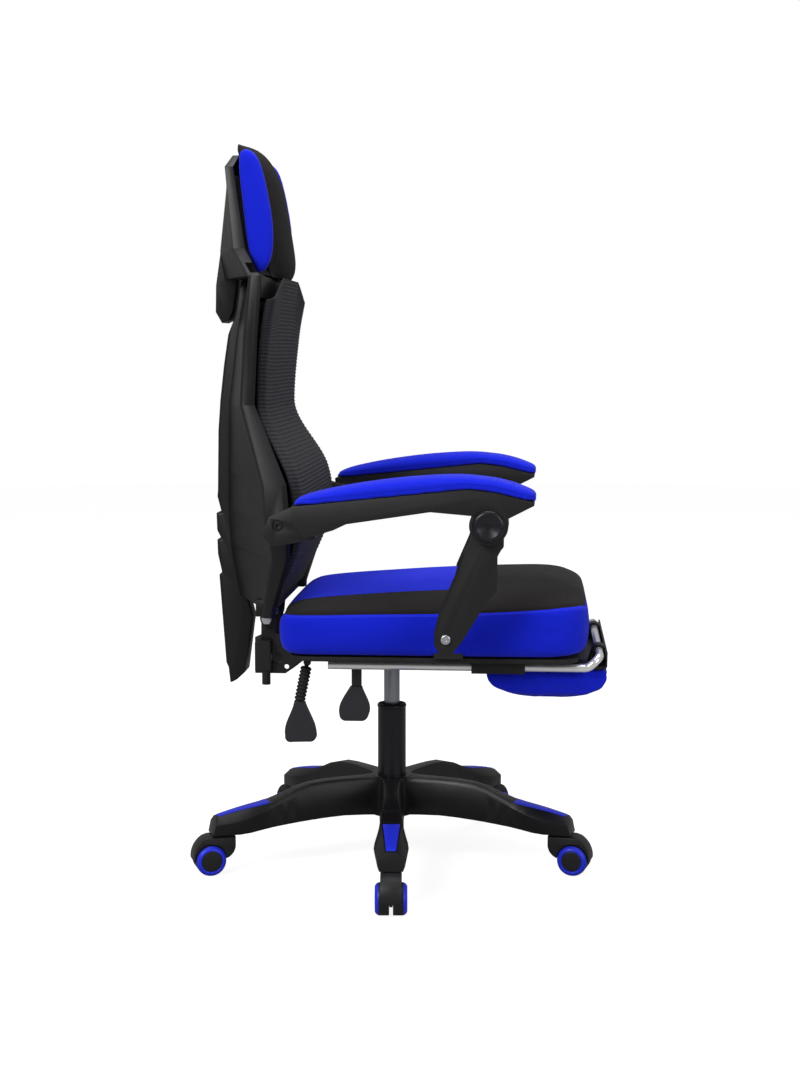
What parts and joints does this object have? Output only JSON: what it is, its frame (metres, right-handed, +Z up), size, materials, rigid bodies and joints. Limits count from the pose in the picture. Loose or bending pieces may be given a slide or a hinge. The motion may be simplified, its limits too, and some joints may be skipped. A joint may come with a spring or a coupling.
{
  "type": "gaming chair",
  "caption": "Reclining mesh-back gaming chair with linked armrests, head pad, gas lift, pull-out flip footrest and twin-wheel casters on a five-leg base.",
  "frame": {"origin": "on the floor, on the axis of the lift column", "axes": "+Z up, the chair faces -Y, the sitter's right hand is towards -X"},
  "size_m": [0.7224, 0.719, 1.26],
  "materials": {
    "black_nylon": "fine moulded grain",
    "black_plastic": "fine moulded grain, slightly satin",
    "blue_plastic": "satin blue",
    "steel": "zinc plated",
    "black_paint": "black powder coat",
    "satin_steel": "dark satin",
    "paddle_plastic": "satin charcoal",
    "black_rubber": "corrugated rubber",
    "seat_board": "black stained plywood",
    "blue_fabric": "royal blue woven polyester",
    "black_fabric": "black woven polyester",
    "mesh_fabric": "ribbed stretch mesh",
    "chrome": "polished chrome"
  },
  "bodies": {
    "base": {"five_star_base": "black_nylon", "base_inserts": "blue_plastic", "caster_stems": "steel", "column_tube": "black_paint", "column_bushing": "black_plastic", "thrust_bearing": "steel"},
    "piston": {"piston_rod": "steel"},
    "seat": {"gas_cylinder": "satin_steel", "seat_mechanism": "black_paint", "seat_bolts": "steel", "seat_board": "seat_board", "seat_cushion": "blue_fabric", "side_brackets": "black_paint", "recline_bracket": "black_paint", "recline_lock": "black_paint", "hinge_pin": "steel", "footrest_guides": "black_plastic"},
    "valve": {"valve_pin": "steel"},
    "lift_lever": {"lift_lever_arm": "black_paint", "lift_paddle": "paddle_plastic"},
    "recline_lever": {"recline_lever_arm": "black_paint", "recline_bellows": "black_rubber", "recline_paddle": "paddle_plastic"},
    "back": {"back_frame": "black_plastic", "back_spine": "black_plastic", "back_mesh": "mesh_fabric", "head_shell": "black_plastic", "head_pad": "black_fabric", "arm_bolts": "steel"},
    "arm_right": {"arm_shell_right": "black_plastic", "arm_pad_right": "blue_fabric"},
    "arm_left": {"arm_shell_left": "black_plastic", "arm_pad_left": "blue_fabric"},
    "strut_right": {"strut_right": "black_plastic", "strut_knob_right": "black_plastic"},
    "strut_left": {"strut_left": "black_plastic", "strut_knob_left": "black_plastic"},
    "footrest_slide": {"footrest_rail": "chrome"},
    "footrest": {"footrest_board": "black_plastic", "footrest_pad": "blue_fabric"},
    "caster_1": {"caster_hood_1": "black_nylon", "caster_axle_1": "steel"},
    "wheel_1a": {"caster_wheel_1a": "blue_plastic"},
    "wheel_1b": {"caster_wheel_1b": "blue_plastic"},
    "caster_2": {"caster_hood_2": "black_nylon", "caster_axle_2": "steel"},
    "wheel_2a": {"caster_wheel_2a": "blue_plastic"},
    "wheel_2b": {"caster_wheel_2b": "blue_plastic"},
    "caster_3": {"caster_hood_3": "black_nylon", "caster_axle_3": "steel"},
    "wheel_3a": {"caster_wheel_3a": "blue_plastic"},
    "wheel_3b": {"caster_wheel_3b": "blue_plastic"},
    "caster_4": {"caster_hood_4": "black_nylon", "caster_axle_4": "steel"},
    "wheel_4a": {"caster_wheel_4a": "blue_plastic"},
    "wheel_4b": {"caster_wheel_4b": "blue_plastic"},
    "caster_5": {"caster_hood_5": "black_nylon", "caster_axle_5": "steel"},
    "wheel_5a": {"caster_wheel_5a": "blue_plastic"},
    "wheel_5b": {"caster_wheel_5b": "blue_plastic"}
  },
  "joints": [
    {"name": "seat_swivel", "type": "hinge", "parent": "base", "child": "piston", "pos_m": [0, 0, 0.1], "axis": [0, 0, 1], "continuous": true},
    {"name": "seat_height", "type": "slide", "parent": "piston", "child": "seat", "axis": [0, 0, 1], "range_m": [-0.05, 0.03]},
    {"name": "lift_lever_pull", "type": "hinge", "parent": "seat", "child": "lift_lever", "pos_m": [-0.06, 0, 0.387], "axis": [0, 1, 0], "range_deg": [0, 4], "stiffness_Nm_per_rad": 6},
    {"name": "valve_press", "type": "slide", "parent": "seat", "child": "valve", "axis": [0, 0, -1], "range_m": [0, 0.0044]},
    {"name": "recline_lever_pull", "type": "hinge", "parent": "seat", "child": "recline_lever", "pos_m": [0, 0.13, 0.383], "axis": [1, 0, 0], "range_deg": [0, 20], "stiffness_Nm_per_rad": 2},
    {"name": "recline", "type": "hinge", "parent": "seat", "child": "back", "pos_m": [0, 0.214, 0.44], "axis": [-1, 0, 0], "range_deg": [0, 40]},
    {"name": "arm_right_pivot", "type": "hinge", "parent": "back", "child": "arm_right", "pos_m": [-0.285, 0.16, 0.627], "axis": [-1, 0, 0], "range_deg": [-38.5, 0]},
    {"name": "arm_left_pivot", "type": "hinge", "parent": "back", "child": "arm_left", "pos_m": [0.285, 0.16, 0.627], "axis": [-1, 0, 0], "range_deg": [-38.5, 0]},
    {"name": "strut_right_pivot", "type": "hinge", "parent": "seat", "child": "strut_right", "pos_m": [-0.315, -0.112, 0.45], "axis": [-1, 0, 0], "range_deg": [0, 39.9]},
    {"name": "strut_left_pivot", "type": "hinge", "parent": "seat", "child": "strut_left", "pos_m": [0.315, -0.112, 0.45], "axis": [-1, 0, 0], "range_deg": [0, 39.9]},
    {"name": "footrest_pull", "type": "slide", "parent": "seat", "child": "footrest_slide", "axis": [0, -1, 0], "range_m": [0, 0.23]},
    {"name": "footrest_flip", "type": "hinge", "parent": "footrest_slide", "child": "footrest", "pos_m": [0, -0.362, 0.402], "axis": [-1, 0, 0], "range_deg": [0, 180]},
    {"name": "caster_1_swivel", "type": "hinge", "parent": "base", "child": "caster_1", "pos_m": [-0.31312, -0.02354, 0.06], "axis": [0, 0, 1], "continuous": true},
    {"name": "wheel_1a_roll", "type": "hinge", "parent": "caster_1", "child": "wheel_1a", "pos_m": [-0.33406, -0.02512, 0.0265], "axis": [0.075, -0.9972, 0], "continuous": true},
    {"name": "wheel_1b_roll", "type": "hinge", "parent": "caster_1", "child": "wheel_1b", "pos_m": [-0.33406, -0.02512, 0.0265], "axis": [0.075, -0.9972, 0], "continuous": true},
    {"name": "caster_2_swivel", "type": "hinge", "parent": "base", "child": "caster_2", "pos_m": [-0.07437, -0.30507, 0.06], "axis": [0, 0, 1], "continuous": true},
    {"name": "wheel_2a_roll", "type": "hinge", "parent": "caster_2", "child": "wheel_2a", "pos_m": [-0.07934, -0.32547, 0.0265], "axis": [0.9715, -0.2368, 0], "continuous": true},
    {"name": "wheel_2b_roll", "type": "hinge", "parent": "caster_2", "child": "wheel_2b", "pos_m": [-0.07934, -0.32547, 0.0265], "axis": [0.9715, -0.2368, 0], "continuous": true},
    {"name": "caster_3_swivel", "type": "hinge", "parent": "base", "child": "caster_3", "pos_m": [0.26715, -0.165, 0.06], "axis": [0, 0, 1], "continuous": true},
    {"name": "wheel_3a_roll", "type": "hinge", "parent": "caster_3", "child": "wheel_3a", "pos_m": [0.28502, -0.17603, 0.0265], "axis": [0.5255, 0.8508, 0], "continuous": true},
    {"name": "wheel_3b_roll", "type": "hinge", "parent": "caster_3", "child": "wheel_3b", "pos_m": [0.28502, -0.17603, 0.0265], "axis": [0.5255, 0.8508, 0], "continuous": true},
    {"name": "caster_4_swivel", "type": "hinge", "parent": "base", "child": "caster_4", "pos_m": [0.23948, 0.20309, 0.06], "axis": [0, 0, 1], "continuous": true},
    {"name": "wheel_4a_roll", "type": "hinge", "parent": "caster_4", "child": "wheel_4a", "pos_m": [0.25549, 0.21668, 0.0265], "axis": [-0.6468, 0.7627, 0], "continuous": true},
    {"name": "wheel_4b_roll", "type": "hinge", "parent": "caster_4", "child": "wheel_4b", "pos_m": [0.25549, 0.21668, 0.0265], "axis": [-0.6468, 0.7627, 0], "continuous": true},
    {"name": "caster_5_swivel", "type": "hinge", "parent": "base", "child": "caster_5", "pos_m": [-0.11915, 0.29052, 0.06], "axis": [0, 0, 1], "continuous": true},
    {"name": "wheel_5a_roll", "type": "hinge", "parent": "caster_5", "child": "wheel_5a", "pos_m": [-0.12712, 0.30995, 0.0265], "axis": [-0.9252, -0.3795, 0], "continuous": true},
    {"name": "wheel_5b_roll", "type": "hinge", "parent": "caster_5", "child": "wheel_5b", "pos_m": [-0.12712, 0.30995, 0.0265], "axis": [-0.9252, -0.3795, 0], "continuous": true}
  ],
  "couplings": [
    {"joint": "valve_press", "follows": "lift_lever_pull", "m_per_rad": 0.062},
    {"joint": "arm_right_pivot", "follows": "recline", "ratio": -0.96},
    {"joint": "arm_left_pivot", "follows": "recline", "ratio": -0.96},
    {"joint": "strut_right_pivot", "follows": "recline", "ratio": 0.995},
    {"joint": "strut_left_pivot", "follows": "recline", "ratio": 0.995}
  ]
}
